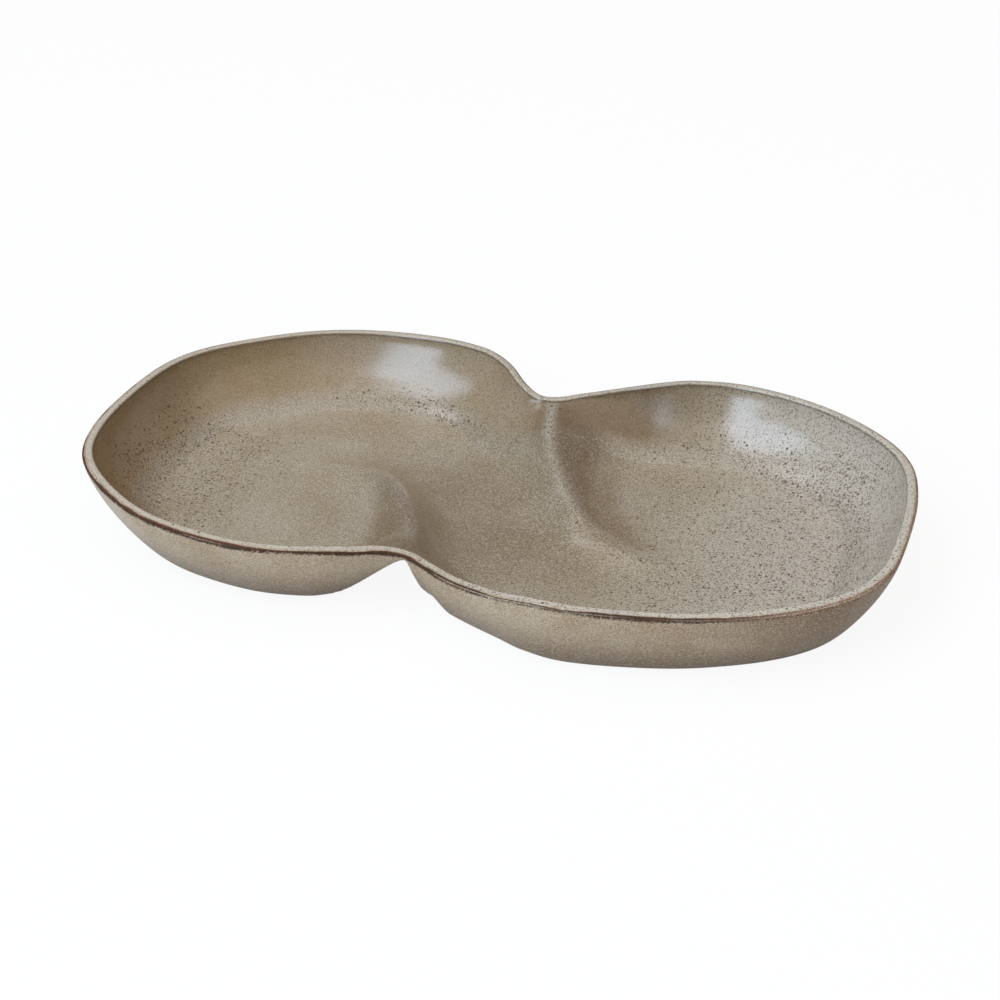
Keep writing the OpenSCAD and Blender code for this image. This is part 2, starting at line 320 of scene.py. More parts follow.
# %% [markdown]
# ## Rings
# The skin is a stack of rings with as many points each, from a seam in the middle of the floor,
# up the inside, over the rim, down the outside and under to a second seam.
# Rings lie closer together where the surface bends more, such as on the two edges of the rim.

# %% Rings of the skin
FLOOR_RINGS = 46
WALL_RINGS = 20
EDGE_RINGS = 5
TOP_RINGS = 5
OUTSIDE_RINGS = 18
UNDER_RINGS = 34
SEAM_LENGTH_SHARE = 0.52
SEAM_WIDTH_SHARE = 0.05
SEAM_TURN = math.radians(10)


def seam():
    """A narrow loop along the channel between the ridges, where the rings close."""
    reach = 2 * rim[:, 0] / dish_length
    side = np.where(np.arange(rim_count) < rim_count / 2, 1, -1)
    along = dish_length * SEAM_LENGTH_SHARE * reach / 2
    across = side * dish_width * SEAM_WIDTH_SHARE * np.sqrt(np.clip(1 - reach**2, 0, None)) / 2
    turned_x = along * math.cos(SEAM_TURN) + across * math.sin(SEAM_TURN)
    return np.column_stack([turned_x, across * math.cos(SEAM_TURN) - along * math.sin(SEAM_TURN)])


def arc(count):
    return np.linspace(0, math.pi / 2, count)


wall_plans = [inset(rim_width + inside_run * (1 - math.cos(turn))) for turn in arc(WALL_RINGS)[::-1]]
floor_plans = [mix(wall_plans[0], seam(), share) for share in np.linspace(1, 0, FLOOR_RINGS + 1)[:-1]]
inside_plans = floor_plans + wall_plans

rim_profile = [(rim_width - edge_round * (1 - math.cos(turn)), edge_round * (1 - math.sin(turn)))
               for turn in arc(EDGE_RINGS)[1:]]
rim_profile += [(mix(rim_width - edge_round, edge_round, share), rim_slope * share)
                for share in np.linspace(0, 1, TOP_RINGS)[1:]]
rim_profile += [(edge_round * (1 - math.sin(turn)), rim_slope + edge_round * (1 - math.cos(turn)))
                for turn in arc(EDGE_RINGS)[1:-1]]

outside_plans = [inset(rim_run * (1 - math.cos(turn))) for turn in arc(OUTSIDE_RINGS)]
outside_plans.append(inset(rim_run + foot_margin))
foot_edge = inset(rim_run + foot_margin + foot_height)
under_plans = [mix(foot_edge, seam(), share) for share in np.linspace(0, 1, UNDER_RINGS + 1)]
outside_count = len(outside_plans + under_plans)
print("rings:", len(inside_plans), "inside,", len(rim_profile), "rim,", outside_count, "outside")

# %% [markdown]
# ## The skin and its marks
# The rings become one array of points, ring by ring.
# Beside each point goes a set of marks for the glaze.
# The most useful one is the way along the skin from the middle of the rim's outer edge,
# in millimetres: below zero over the rim and into the bowl, above zero down the outside.

# %% Points and marks
inside_flat = np.concatenate(inside_plans)
inside_z, inside_wall, inside_crest, inside_flank = inside_surface(inside_flat)
outside_flat = np.concatenate(outside_plans)
outside_z, outside_wall = outside_surface(outside_flat, foot_height)
under_flat = np.concatenate(under_plans)
under_z, under_wall = outside_surface(under_flat, 0)
rim_flat = np.concatenate([inset(distance) for distance, drop in rim_profile])
rim_z = rim_level(rim_flat[:, 0]) - np.repeat([drop for distance, drop in rim_profile], rim_count)

flat = np.concatenate([inside_flat, rim_flat, outside_flat, under_flat])
heights = np.concatenate([inside_z, rim_z, outside_z, under_z])
skin = np.column_stack([flat, heights]).reshape(-1, rim_count, 3)
ring_count = len(skin)

rim_start = len(inside_plans)
inner_end = rim_start + EDGE_RINGS + TOP_RINGS - 3
outer_start = rim_start + len(rim_profile)
outer_end = outer_start + OUTSIDE_RINGS
edge_middle = (inner_end + outer_start) // 2

steps = np.linalg.norm(np.diff(skin, axis=0), axis=2)
way = np.concatenate([np.zeros((1, rim_count)), np.cumsum(steps, axis=0)])
rim_wall = np.ones(len(rim_flat))
beyond = np.zeros(len(rim_flat) + len(outside_flat) + len(under_flat))
marks = {
    "rim_way": (way - way[edge_middle]) / MM,
    "wall": np.concatenate([inside_wall, rim_wall, outside_wall, under_wall]).reshape(ring_count, -1),
    "crest": np.concatenate([inside_crest, beyond]).reshape(ring_count, -1),
    "flank": np.concatenate([inside_flank, beyond]).reshape(ring_count, -1),
}
print("skin of", skin.shape[0], "rings by", skin.shape[1], "points")

# %% [markdown]
# ## Clay under the glaze
# A coat of glaze is about half a millimetre thick and tapers where it ends.
# The clay's own surface is the skin moved in by that much,
# and it is the skin itself where the clay is bare: along the rim's outer edge, where the glaze breaks,
# and under the foot, which is wiped before firing.

# %% Clay surface
TAPER = 1.8 * MM
onward = np.roll(skin, -1, axis=1) - np.roll(skin, 1, axis=1)
outward = unit(np.cross(np.gradient(skin, axis=0), onward))
ring_index = np.arange(ring_count)
inner_way = np.clip((way[inner_end] - way) / TAPER, 0, 1)
outer_way = np.clip(np.minimum(way - way[outer_start], way[outer_end] - way) / TAPER, 0, 1)
coat = glaze_thickness * np.where(ring_index[:, None] < inner_end, inner_way, outer_way)
clay = skin - coat[:, :, None] * outward
print("thickest coat %.2f mm" % (coat.max() / MM))

# %% [markdown]
# ## From rings to meshes
# Two neighbouring rings are joined by a band of four-sided faces, and a seam by a strip across its loop.
# A coat is a closed shell: its face is the skin, its back lies on the clay,
# and both share their end rings.
# Those rings are marked sharp, because the face and the back meet there at a thin edge
# and shared smooth normals would draw a dark line.

# %% Mesh builder
def bands(rows):
    """Faces between neighbouring rows of point numbers."""
    faces = []
    for lower, upper in zip(rows[:-1], rows[1:]):
        faces += np.column_stack([lower, np.roll(lower, -1), np.roll(upper, -1), upper]).tolist()
    return faces


def seam_strip(row):
    """Faces across a seam's loop."""
    count = len(row)
    faces = []
    for k in range(count // 2):
        corners = [row[-k % count], row[-k - 1], row[k + 1], row[k]]
        faces.append(list(dict.fromkeys(int(corner) for corner in corners)))
    return faces


def turned(faces):
    return [face[::-1] for face in faces]


def rows_of(first, count):
    return np.arange(first * rim_count, (first + count) * rim_count).reshape(count, rim_count)


def make_piece(name, points, faces, mark_rings, sharp_rings):
    mesh = bpy.data.meshes.new(name)
    mesh.from_pydata(points.reshape(-1, 3).tolist(), [], faces)
    for mark, values in marks.items():
        layer = mesh.attributes.new(mark, "FLOAT", "POINT")
        layer.data.foreach_set("value", np.ravel([values[ring] for ring in mark_rings]))
    sharp_points = {point for ring in sharp_rings for point in rows_of(ring, 1)[0].tolist()}
    for edge in mesh.edges:
        edge.use_edge_sharp = set(edge.vertices) <= sharp_points
    mesh.validate()
    piece = bpy.data.objects.new(name, mesh)
    bpy.context.scene.collection.objects.link(piece)
    print(name, len(mesh.vertices), "points", len(mesh.polygons), "faces")
    return piece


# %% [markdown]
# ## Clay body
# The clay is cast or pressed as one shell, so it is one closed mesh over all the rings.
# Only its line along the rim and its foot show, but the rest is there, as in the real dish.

# %% Make the clay body
clay_rows = rows_of(0, ring_count)
clay_faces = seam_strip(clay_rows[0]) + bands(clay_rows) + turned(seam_strip(clay_rows[-1]))
coat_ends = (inner_end, outer_start, outer_end)
clay_body = make_piece("clay_body_fine", clay, clay_faces, range(ring_count), coat_ends)

# %% [markdown]
# ## Inner coat
# The inner coat is poured in and swilled round, so it covers the inside and runs over the rim's top.

# %% Make the inner coat
inner_points = np.concatenate([skin[:inner_end + 1], clay[:inner_end]])
inner_face = rows_of(0, inner_end + 1)
inner_back = np.vstack([rows_of(inner_end + 1, inner_end), inner_face[-1:]])
inner_faces = seam_strip(inner_face[0]) + bands(inner_face)
inner_faces += turned(seam_strip(inner_back[0]) + bands(inner_back))
inner_rings = [*range(inner_end + 1), *range(inner_end)]
inner_glaze = make_piece("inner_glaze_fine", inner_points, inner_faces, inner_rings, (inner_end,))

# %% [markdown]
# ## Outer coat
# The outer coat is a sleeve from the rim's outer edge down to the foot.

# %% Make the outer coat
outer_points = np.concatenate([skin[outer_start:outer_end + 1], clay[outer_start + 1:outer_end]])
face_count = outer_end - outer_start + 1
outer_face = rows_of(0, face_count)
outer_back = np.vstack([outer_face[:1], rows_of(face_count, face_count - 2), outer_face[-1:]])
outer_faces = bands(outer_face) + turned(bands(outer_back))
outer_rings = [*range(outer_start, outer_end + 1), *range(outer_start + 1, outer_end)]
outer_glaze = make_piece("outer_glaze_fine", outer_points, outer_faces, outer_rings, (0, face_count - 1))

# %% [markdown]
# ## Into the frame
# Each fine piece stands for the CAD node of the same layer, which it hides, and rides on
# the part's one body. Smooth shading hides the last facets.

# %% Ride and replace
PIECES = [
    (clay_body, "clay_body", "stoneware_clay"),
    (inner_glaze, "inner_glaze", "inner_glaze"),
    (outer_glaze, "outer_glaze", "outer_glaze"),
]
for piece, node, slot in PIECES:
    piece.data.shade_smooth()
    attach(piece, "root")
    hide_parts(node)
    print(piece.name, "stands for", node)

# %% [markdown]
# ## Sums with sockets
# A material is a graph of nodes, and a long one is hard to read as code.
# This small class wraps one output socket, so that a sum such as 1 - mask adds its own Math node.
# Every other node comes from the method node, which sets the node's settings first
# and then fills its sockets with values or links.

# %% A socket that takes part in sums
class Wire:
    """One output of a material's nodes."""

    def __init__(self, tree, socket=None):
        self.tree = tree
        self.socket = socket

    def node(self, kind, settings, sockets, output=0):
        made = self.tree.nodes.new(kind)
        for name, value in settings.items():
            setattr(made, name, value)
        for name, value in sockets.items():
            if isinstance(value, Wire):
                self.tree.links.new(value.socket, made.inputs[name])
            else:
                made.inputs[name].default_value = value
        return Wire(self.tree, made.outputs[output])

    def out(self, output):
        """Another output of the same node."""
        return Wire(self.tree, self.socket.node.outputs[output])

    def maths(self, operation, *values):
        return self.node("ShaderNodeMath", {"operation": operation}, dict(enumerate(values)))

    def __abs__(self):
        return self.maths("ABSOLUTE", self)

    def __add__(self, other):
        return self.maths("ADD", self, other)

    def __radd__(self, other):
        return self.maths("ADD", other, self)

    def __sub__(self, other):
        return self.maths("SUBTRACT", self, other)

    def __rsub__(self, other):
        return self.maths("SUBTRACT", other, self)

    def __mul__(self, other):
        return self.maths("MULTIPLY", self, other)

    def __rmul__(self, other):
        return self.maths("MULTIPLY", other, self)


# %% [markdown]
# ## Helpers for finishes
# Colours are written as they look on a screen, from 0 to 255, and turned into the linear values that
# Blender reckons with. The other helpers are the few things that every finish below is made of:
# a mark from the mesh, a soft step, a bump over a place, noise with a grain size in millimetres,
# a mix of two colours and a relief.

# %% Colour helpers
SCREEN_FULL = 255
SCREEN_BEND = 0.04045
SCREEN_SLOPE = 12.92
SCREEN_LIFT = 0.055
SCREEN_POWER = 2.4


def linear(value):
    """A screen value from 0 to 255 as a linear one from 0 to 1."""
    share = value / SCREEN_FULL
    if share <= SCREEN_BEND:
        return share / SCREEN_SLOPE
    return ((share + SCREEN_LIFT) / (1 + SCREEN_LIFT)) ** SCREEN_POWER


def paint(red, green, blue):
    """A screen colour as linear values with full alpha."""
    return (linear(red), linear(green), linear(blue), 1)


def blend(share, under, over):
    """The colour under, covered by the colour over."""
    return share.node("ShaderNodeMix", {"data_type": "RGBA"}, {0: share, 6: under, 7: over}, 2)


# %% Finish helpers
def new_finish(name):
    """An empty material: the material, its start wire and its Principled shader."""
    material = bpy.data.materials.new(name)
    material.use_nodes = True
    shader = material.node_tree.nodes["Principled BSDF"]
    return material, Wire(material.node_tree), shader


def places(start):
    """The place on the part, and how far that is along the dish. Its output Y is how far across."""
    place = start.node("ShaderNodeTexCoord", {}, {}, "Object")
    return place, start.node("ShaderNodeSeparateXYZ", {}, {0: place})


def mark(start, name):
    return start.node("ShaderNodeAttribute", {"attribute_name": name}, {}, "Fac")


def rise(value, low, high):
    """0 below low, 1 above high and a smooth step between. Low may be the greater one."""
    smooth = {"interpolation_type": "SMOOTHSTEP"}
    return value.node("ShaderNodeMapRange", smooth, {"Value": value, "From Min": low, "From Max": high})


def hump(value, middle, width):
    """1 at the middle, and 0 a width away on both sides."""
    return rise(abs(value - middle), width, 0)


def most(first, second):
    return first.maths("MAXIMUM", first, second)


def noise(place, size, detail=2.0, rough=0.5):
    """Noise between about 0 and 1 whose patches are a size across, in millimetres."""
    sockets = {"Vector": place, "Scale": 1 / (size * MM), "Detail": detail, "Roughness": rough}
    return place.node("ShaderNodeTexNoise", {}, sockets)


def plug(wire, shader, socket):
    wire.tree.links.new(wire.socket, shader.inputs[socket])


def emboss(height, shader, strength, depth):
    """Fine relief, drawn by the shading alone."""
    sockets = {"Strength": strength, "Distance": depth, "Height": height}
    plug(height.node("ShaderNodeBump", {}, sockets), shader, "Normal")


# %% [markdown]
# ## Grain and pinholes
# Close up, the glaze is a net of pale worms around darker specks, a bit over half a millimetre apart.
# A Voronoi texture gives just that: dark near the middle of each cell and pale between cells.
# Gas that leaves the melting glaze makes pinholes, which are the same texture with fewer, rounder dots.
# The texture is solid, so dots lie round on a wall as well as on the floor.

# %% Grain and pinholes
GRAIN_SIZE = 0.58
GRAIN_MEAN = 0.45
GRAIN_FRAY_SIZE = 0.5
GRAIN_FRAY = 0.2
DOT_LEAST = 0.6
DOT_SPREAD = 0.6
DOT_CORE = 0.65
DOT_LIMIT = 0.02


def cells_of(place, size):
    """Cells of a size, in millimetres: 0 in the middle of each, and more towards its border."""
    sockets = {"Vector": place, "Scale": 1 / (size * MM)}
    return place.node("ShaderNodeTexVoronoi", {"feature": "F1"}, sockets)


def grain_of(place):
    """About 0 in the specks of the grain and 1 in its pale net."""
    return cells_of(place, GRAIN_SIZE) + (noise(place, GRAIN_FRAY_SIZE, detail=1) - 0.5) * GRAIN_FRAY


def pinholes(place, size, share, dot):
    """Dots in cells of a size, in millimetres.
    Share is how many cells have one, and dot is its radius in cells."""
    cells = cells_of(place, size)
    random = place.node("ShaderNodeSeparateColor", {}, {0: cells.out("Color")})
    radius = dot * (DOT_LEAST + random.out("Green") * DOT_SPREAD)
    holds = rise(share - random, -DOT_LIMIT, DOT_LIMIT)
    return rise(cells, radius, radius * DOT_CORE) * holds


# %% [markdown]
# ## The broken edge
# Along the rim's outer edge the glaze pulls away as it melts and the iron in the clay shows through:
# a dark brown line with a red upper border and a mottled, feathered lower one, which splits in places.
# It runs over the end of both coats and over the bare clay between them, so all three finishes share it.
# It depends only on the way from the edge and on noise over the part's own coordinates,
# and so it goes on from piece to piece with no step. At the left end it is widest.

# %% Broken edge, shared by the finishes
BREAK_WIDE = 0.82
BREAK_FINE = 0.7
BREAK_MIDDLE = 0.15
BREAK_WANDER = 0.7
WANDER_SIZE = 30
PATCH_SIZE = 24
WIDTH_SIZE = 7
FRAY_SIZE = 1.6
SPLIT_SIZE = 40
FINE_PLACE = (-75 * MM, 25 * MM)
SOFT_PLACE = (85 * MM, 125 * MM)
BREAK_BROWN = paint(50, 28, 16)
BREAK_RED = paint(118, 62, 36)
BREAK_MOTTLE = paint(98, 68, 42)


def broken_edge(place, x_place, rim_way, grain):
    """How far the glaze is broken through, and the colour that shows."""
    offset = rim_way - BREAK_MIDDLE + (noise(place, WANDER_SIZE) - 0.5) * BREAK_WANDER
    fine = rise(x_place, *FINE_PLACE)
    soft = rise(x_place, *SOFT_PLACE)
    patches = 0.6 + rise(noise(place, PATCH_SIZE), 0.36, 0.6) * 0.5
    width = BREAK_WIDE + fine * (BREAK_FINE - BREAK_WIDE)
    half = width * (0.5 + noise(place, WIDTH_SIZE)) * patches
    fray = (grain - GRAIN_MEAN) * 0.8 + (noise(place, FRAY_SIZE) - 0.5) * 0.6
    upper = rise(offset + fray * 0.2, half * -1 - 0.25 - soft * 0.4, half * -1 + 0.2)
    lower = rise(offset + fray, half + 0.85, half - 0.3)
    splits = rise(noise(place, SPLIT_SIZE, detail=1), 0.5, 0.62) * 0.6
    split = hump(offset + fray * 0.2, 0.1, 0.35) * splits
    bare = upper * lower * (1 - split) * (0.97 - soft * 0.35)
    mottle = rise(fray, 0.0, 0.5) * 0.7
    red = most(rise(offset, half * -0.2, half * -1) * (0.75 - fine * 0.5), soft * 0.7)
    shown = blend(red, blend(mottle, BREAK_BROWN, BREAK_MOTTLE), BREAK_RED)
    return bare, shown


# %% [markdown]
# ## Inner glaze
# The glaze is a satin greige with a fine olive-brown grain and pinholes.
# A potter gets this from one reactive coat: thick and pale where it pools,
# thin and brown where it runs off. The colour starts from a greige ground, paler at the right end,
# partly from pooled glaze and partly as painted light and sheen on the wall that faces the lamps.
# It is brown where the glaze is thin on the walls and on the flanks of the ridges, and browner
# on the left wall, partly from thin glaze and partly as painted shade. Painted shade darkens
# the foot of the walls. The crests are paler, the far one with a painted highlight,
# and grain goes over all.
# Pinholes gather where the walls meet the floor, along the crests and at both ends.

# %% Inner glaze, ground
GREIGE = paint(164, 150, 130)
OLIVE = paint(149, 132, 106)
POOLED_AND_SHEEN = paint(177, 167, 153)
CLOUD_SIZE = 26
STREAK_SIZE = 3.6
RIGHT_PLACE = (40 * MM, 100 * MM)
LEFT_PLACE = (-55 * MM, -115 * MM)

inner_finish, start, shader = new_finish("satin_inner_glaze")
place, x_place = places(start)
y_place = x_place.out("Y")
rim_way = mark(start, "rim_way")
wall = mark(start, "wall")
crest_mark = mark(start, "crest")
flank = mark(start, "flank")
right_end = rise(x_place, *RIGHT_PLACE)
left_end = rise(x_place, *LEFT_PLACE)

cloud = noise(place, CLOUD_SIZE, detail=3, rough=0.55)
streak = noise(place, STREAK_SIZE, detail=4, rough=0.6)
on_floor = rise(wall, 0.03, 0.0) * rise(flank, 0.2, 0.05)
ground = blend(rise(cloud, 0.35, 0.7) * 0.7 + on_floor * 0.3, GREIGE, OLIVE)
# Paler at the right end, partly from pooled glaze and partly as painted light and sheen on the right
# wall, which faces the lamps.
ground = blend(right_end * (0.5 + cloud * 0.5), ground, POOLED_AND_SHEEN)

# %% Inner glaze, thin places, painted shade and a painted highlight
WALL_BROWN = paint(130, 103, 64)
FLANK_BROWN = paint(99, 74, 40)
WALL_FOOT_SHADE = paint(118, 106, 90)
CREST_PALE_AND_HIGHLIGHT = paint(172, 163, 147)
WALL_THIN = 0.36
LEFT_THIN_AND_SHADE = 0.38
RIGHT_THICK = 0.12
RIDGE_THIN = 0.82
MIDDLE_THIN = 0.5
WALL_FOOT_SHADE_SHARE = 0.33
RIGHT_BOWL_PLACE = (15 * MM, 35 * MM)
RIDGE_LEFT_PLACE = (0, 15 * MM)
RIDGE_RIGHT_PLACE = (60 * MM, 26 * MM)
RIDGE_FAR_PLACE = (0, 40 * MM)
MIDDLE_PLACE = (75 * MM, 15 * MM)
FAR_CREST_PLACE = (-20 * MM, 10 * MM)

patchy = 0.55 + cloud * 0.5 + streak * 0.4
upper_wall = rise(wall, 0.0, 0.32)
# The walls at the left end are browner, partly from thin glaze and partly as painted shade, since they
# face away from the lamps.
thin_share = WALL_THIN + left_end * LEFT_THIN_AND_SHADE - rise(x_place, *RIGHT_BOWL_PLACE) * RIGHT_THICK
wall_thin = upper_wall * thin_share * (1 - right_end)
ground = blend(wall_thin * patchy, ground, WALL_BROWN)

beside_ridge = rise(x_place, *RIDGE_RIGHT_PLACE) * rise(x_place, *RIDGE_LEFT_PLACE)
ridge_thin = upper_wall * (beside_ridge * rise(y_place, *RIDGE_FAR_PLACE)) * RIDGE_THIN
flank_thin = rise(flank, 0.0, 0.4) * RIDGE_THIN
from_middle = start.node("ShaderNodeVectorMath", {"operation": "LENGTH"}, {0: place}, "Value")
middle_thin = rise(from_middle, *MIDDLE_PLACE) * MIDDLE_THIN
ground = blend(most(most(ridge_thin, flank_thin), middle_thin) * patchy, ground, FLANK_BROWN)

# Painted shade: a neutral grey-brown darkens the foot of each wall, where it turns into the floor.
wall_foot_shade = rise(wall, 0.0, 0.03) * rise(wall, 0.3, 0.08) * WALL_FOOT_SHADE_SHARE
ground = blend(wall_foot_shade, ground, WALL_FOOT_SHADE)
# Both crests are a little paler; the far crest, which faces the lamps, also gets a painted highlight
# along it.
far_crest_highlight = crest_mark * rise(y_place, *FAR_CREST_PLACE)
ground = blend(crest_mark * 0.08 + far_crest_highlight * 0.7, ground, CREST_PALE_AND_HIGHLIGHT)

# %% Inner glaze, rim and grain
RIM_PALE = paint(200, 190, 174)
RIM_LINE = paint(92, 79, 63)
GRAIN_DARK = paint(86, 71, 49)
GRAIN_PALE = paint(196, 189, 175)
RIM_TOP_MIDDLE = -2.0
RIM_TOP_REACH = 1.9
INNER_EDGE_WAY = -3.7
INNER_EDGE_REACH = 0.75
SPECK_PLACE = (-75 * MM, 0)

rim_top = hump(rim_way, RIM_TOP_MIDDLE, RIM_TOP_REACH)
ground = blend(rise(rim_top, 0.1, 0.7) * 0.7, ground, RIM_PALE)
inner_line = hump(rim_way + (streak - 0.5) * 0.8, INNER_EDGE_WAY, INNER_EDGE_REACH)
ground = blend(inner_line * 0.75, ground, RIM_LINE)

grain = grain_of(place)
specks = pinholes(place, size=0.8, share=0.9, dot=0.42)
speck_share = 0.42 + rise(x_place, *SPECK_PLACE) * 0.4
dark_grain = most(rise(grain, 0.42, 0.16) * 0.48, specks * speck_share)
pale_grain = rise(grain, 0.5, 0.72) * (0.26 - upper_wall * (1 - right_end) * 0.2)
ground = blend(dark_grain, ground, GRAIN_DARK)
ground = blend(pale_grain, ground, GRAIN_PALE)

# %% Inner glaze, pinholes
PIT_BROWN = paint(78, 54, 32)
FAR_EDGE_PLACE = (15 * MM, 50 * MM)
FAR_EDGE_MIDDLE = -46 * MM
FAR_EDGE_REACH = 48 * MM
LEFT_BAND_PLACE = (-68 * MM, -102 * MM)
LEFT_BAND_NEAR_PLACE = (40 * MM, 10 * MM)
FAR_SIDE_PLACE = (45 * MM, 65 * MM)
RIGHT_BAND_PLACE = (25 * MM, 90 * MM)

floor_edge = rise(wall, 0.0, 0.04) * rise(wall, 0.35, 0.12)
far_edge = floor_edge * rise(y_place, *FAR_EDGE_PLACE)
far_edge = far_edge * hump(x_place, FAR_EDGE_MIDDLE, FAR_EDGE_REACH)
left_band = rise(x_place, *LEFT_BAND_PLACE) * rise(wall, 0.8, 0.35)
left_band = left_band * rise(y_place, *LEFT_BAND_NEAR_PLACE)
far_side = rise(y_place, *FAR_SIDE_PLACE)
right_band = rise(x_place, *RIGHT_BAND_PLACE) * rise(wall + far_side * 0.35, 1.0, 0.5)
right_band = right_band * (0.55 + rise(wall, 0.0, 0.04) * 0.35)
gathered = most(far_edge * 0.75, left_band * 0.85) + right_band + crest_mark * 0.7
pit_zone = gathered * rise(cloud + streak * 0.5, 0.45, 0.8)
rim_zone = rim_top * (0.5 + most(right_end, left_end) * 0.4)
pits = pinholes(place, size=1.6, share=pit_zone * 0.9, dot=0.34)
small_pits = pinholes(place, size=0.95, share=pit_zone * 1.2, dot=0.4)
rim_pits = pinholes(place, size=2.4, share=rim_zone, dot=0.2)
any_pit = most(most(pits, small_pits * 0.8), rim_pits)
ground = blend(any_pit * 0.9, ground, PIT_BROWN)
bare, shown = broken_edge(place, x_place, rim_way, grain)
plug(blend(bare, ground, shown), shader, "Base Color")

# %% Inner glaze, gloss and relief
SATIN_ROUGH = 0.22
SATIN_IOR = 1.55
GLAZE_BUMP = 0.3
GLAZE_RELIEF = 0.05 * MM

rough = SATIN_ROUGH + (grain - GRAIN_MEAN) * 0.06 + any_pit * 0.5 + bare * 0.5
plug(rough, shader, "Roughness")
shader.inputs["IOR"].default_value = SATIN_IOR
emboss(grain * 0.2 - any_pit, shader, GLAZE_BUMP, GLAZE_RELIEF)
inner_glaze.data.materials.append(inner_finish)
print("inner glaze:", len(inner_finish.node_tree.nodes), "nodes")

# %% [markdown]
# ## Outer glaze
# Outside, the same glaze is thinner and more even: beige with the same grain and small dots.
# It is browner and darker towards the foot, and painted shade darkens its right end, which faces away
# from the lamps.

# %% Outer glaze, colour
OUTER_BEIGE = paint(177, 156, 128)
OUTER_TAN = paint(162, 138, 106)
OUTER_BROWN_AND_SHADE = paint(110, 82, 50)
OUTER_CLOUD_SIZE = 18
OUTER_RIGHT_PLACE = (75 * MM, 125 * MM)

outer_finish, start, shader = new_finish("satin_outer_glaze")
place, x_place = places(start)
rim_way = mark(start, "rim_way")
wall = mark(start, "wall")
cloud = noise(place, OUTER_CLOUD_SIZE, detail=3, rough=0.6)
ground = blend(rise(cloud, 0.35, 0.7), OUTER_BEIGE, OUTER_TAN)
# Darker and browner towards the foot.
low_darker = rise(wall, 0.8, 0.05) * 0.85
# Painted shade: the right end of the outside is darkened, as it faces away from the lamps.
right_end_shade = rise(x_place, *OUTER_RIGHT_PLACE) * 0.8
ground = blend(most(low_darker, right_end_shade), ground, OUTER_BROWN_AND_SHADE)
grain = grain_of(place)
ground = blend(rise(grain, 0.46, 0.18) * 0.55, ground, GRAIN_DARK)
ground = blend(rise(grain, 0.5, 0.75) * 0.3, ground, GRAIN_PALE)
pits = pinholes(place, size=1.1, share=rise(cloud, 0.35, 0.6) * 0.3, dot=0.28)
ground = blend(pits * 0.7, ground, PIT_BROWN)
bare, shown = broken_edge(place, x_place, rim_way, grain)
plug(blend(bare, ground, shown), shader, "Base Color")

# %% Outer glaze, gloss and relief
OUTER_ROUGH = 0.4
OUTER_IOR = 1.5
OUTER_SPECULAR = 0.3

rough = OUTER_ROUGH + (grain - GRAIN_MEAN) * 0.08 + pits * 0.2 + bare * 0.4
plug(rough, shader, "Roughness")
shader.inputs["IOR"].default_value = OUTER_IOR
shader.inputs["Specular IOR Level"].default_value = OUTER_SPECULAR
emboss(grain * 0.2 - pits, shader, GLAZE_BUMP, GLAZE_RELIEF)
outer_glaze.data.materials.append(outer_finish)
print("outer glaze:", len(outer_finish.node_tree.nodes), "nodes")

# %% [markdown]
# ## Stoneware clay
# Bare fired clay shows under the foot: matt, sandy and brown.
# Along the rim it has the broken edge's colour, and where the glaze has held on,
# the pale glaze of the coats beside it.

# %% Clay
CLAY_BROWN = paint(124, 92, 68)
CLAY_SAND = paint(160, 130, 102)
SAND_SIZE = 0.7
CLAY_CLOUD_SIZE = 16
RIM_REGION = 3.0
RIM_REGION_END = 4.0
CLAY_ROUGH = 0.66
CLAY_SPECULAR = 0.15
SAND_BUMP = 0.5
SAND_RELIEF = 0.08 * MM

clay_finish, start, shader = new_finish("bare_stoneware")
place, x_place = places(start)
rim_way = mark(start, "rim_way")
sand = noise(place, SAND_SIZE, rough=0.7)
sandy = rise(noise(place, CLAY_CLOUD_SIZE), 0.4, 0.65) * 0.5 + rise(sand, 0.5, 0.65) * 0.4
foot = blend(sandy, CLAY_BROWN, CLAY_SAND)
foot = blend(rise(sand, 0.45, 0.34) * 0.5, foot, GRAIN_DARK)
bare, shown = broken_edge(place, x_place, rim_way, grain_of(place))
held_on = blend(rise(sand, 0.42, 0.6), OUTER_TAN, RIM_PALE)
edge = blend(bare, held_on, shown)
by_rim = rise(abs(rim_way), RIM_REGION_END, RIM_REGION)
plug(blend(by_rim, foot, edge), shader, "Base Color")
plug(CLAY_ROUGH + (sand - 0.5) * 0.2, shader, "Roughness")
shader.inputs["Specular IOR Level"].default_value = CLAY_SPECULAR
emboss(sand, shader, SAND_BUMP, SAND_RELIEF)
clay_body.data.materials.append(clay_finish)
print("clay:", len(clay_finish.node_tree.nodes), "nodes")

# %% [markdown]
# ## Floor and surroundings
# The dish stands on a plain pale floor under a white surround. To the camera both look nearly white,
# and the floor keeps a soft shadow. In the glaze they show more faintly,
# as a room does behind the camera, because a full white there would wash out its browns.
# The dish itself is lit only by the plain light. The floor lies a hair below the foot,
# because two faces in one plane flicker.

# %% Floor
FLOOR_SIZE = 8
FLOOR_GAP = 0.05 * MM
FLOOR_PALE = (0.84, 0.84, 0.84, 1)
FLOOR_ROUGH = 0.9
FLOOR_WHITE = 0.92
GLOSS_SHARE = 0.3
WHITE = (1, 1, 1, 1)


def white_rays(start):
    """1 for rays from the camera or through glass, which see a white surround, and less in gloss."""
    rays = start.node("ShaderNodeLightPath", {}, {}, "Is Camera Ray")
    return most(most(rays, rays.out("Is Glossy Ray") * GLOSS_SHARE), rays.out("Is Transmission Ray"))


